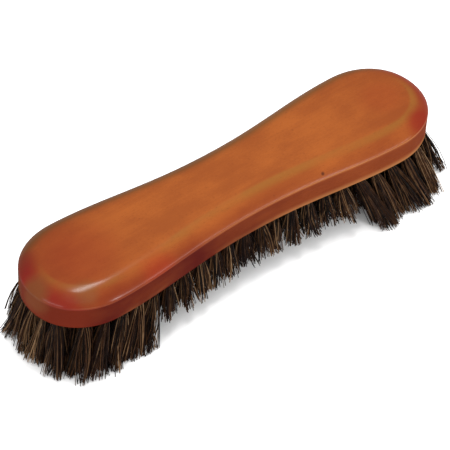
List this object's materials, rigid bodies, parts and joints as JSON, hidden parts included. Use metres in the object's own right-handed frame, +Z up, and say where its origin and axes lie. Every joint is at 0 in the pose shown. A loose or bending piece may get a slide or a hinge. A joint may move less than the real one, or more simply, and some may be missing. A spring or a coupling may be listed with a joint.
{
  "type": "clothes brush",
  "caption": "Long waisted wooden brush with a domed back; dark horsehair tufts, short along the middle, long and splayed at both ends, for sweeping cloth.",
  "frame": {"origin": "on the surface the brush stands on, at the tips of the long tufts, under the middle of the wood", "axes": "+X along the brush, +Y across it, +Z up from the tips of the tufts to the domed back"},
  "size_m": [0.2818, 0.0776, 0.0581],
  "materials": {
    "back_wood": "stained warm brown and clear lacquered, satin gloss",
    "sole_wood": "stained red brown and clear lacquered, satin gloss",
    "horsehair": "straight black and brown hair, dull sheen",
    "drawing_wire": "drawn bright"
  },
  "bodies": {
    "root": {"back": "back_wood", "sole": "sole_wood", "tuft_row_01": "horsehair", "tuft_row_02": "horsehair", "tuft_row_03": "horsehair", "tuft_row_04": "horsehair", "tuft_row_05": "horsehair", "tuft_row_06": "horsehair", "tuft_row_07": "horsehair", "tuft_row_08": "horsehair", "tuft_row_09": "horsehair", "tuft_row_10": "horsehair", "tuft_row_11": "horsehair", "tuft_row_12": "horsehair", "tuft_row_13": "horsehair", "tuft_row_14": "horsehair", "tuft_row_15": "horsehair", "tuft_row_16": "horsehair", "tuft_row_17": "horsehair", "tuft_row_18": "horsehair", "tuft_row_19": "horsehair", "tuft_row_20": "horsehair", "tuft_row_21": "horsehair", "tuft_row_22": "horsehair", "tuft_row_23": "horsehair", "tuft_row_24": "horsehair", "wire_01": "drawing_wire", "wire_02": "drawing_wire", "wire_03": "drawing_wire", "wire_04": "drawing_wire", "wire_05": "drawing_wire", "wire_06": "drawing_wire", "wire_07": "drawing_wire", "wire_08": "drawing_wire", "wire_09": "drawing_wire", "wire_10": "drawing_wire", "wire_11": "drawing_wire", "wire_12": "drawing_wire", "wire_13": "drawing_wire", "wire_14": "drawing_wire", "wire_15": "drawing_wire", "wire_16": "drawing_wire", "wire_17": "drawing_wire", "wire_18": "drawing_wire", "wire_19": "drawing_wire", "wire_20": "drawing_wire", "wire_21": "drawing_wire", "wire_22": "drawing_wire", "wire_23": "drawing_wire", "wire_24": "drawing_wire"}
  },
  "joints": []
}
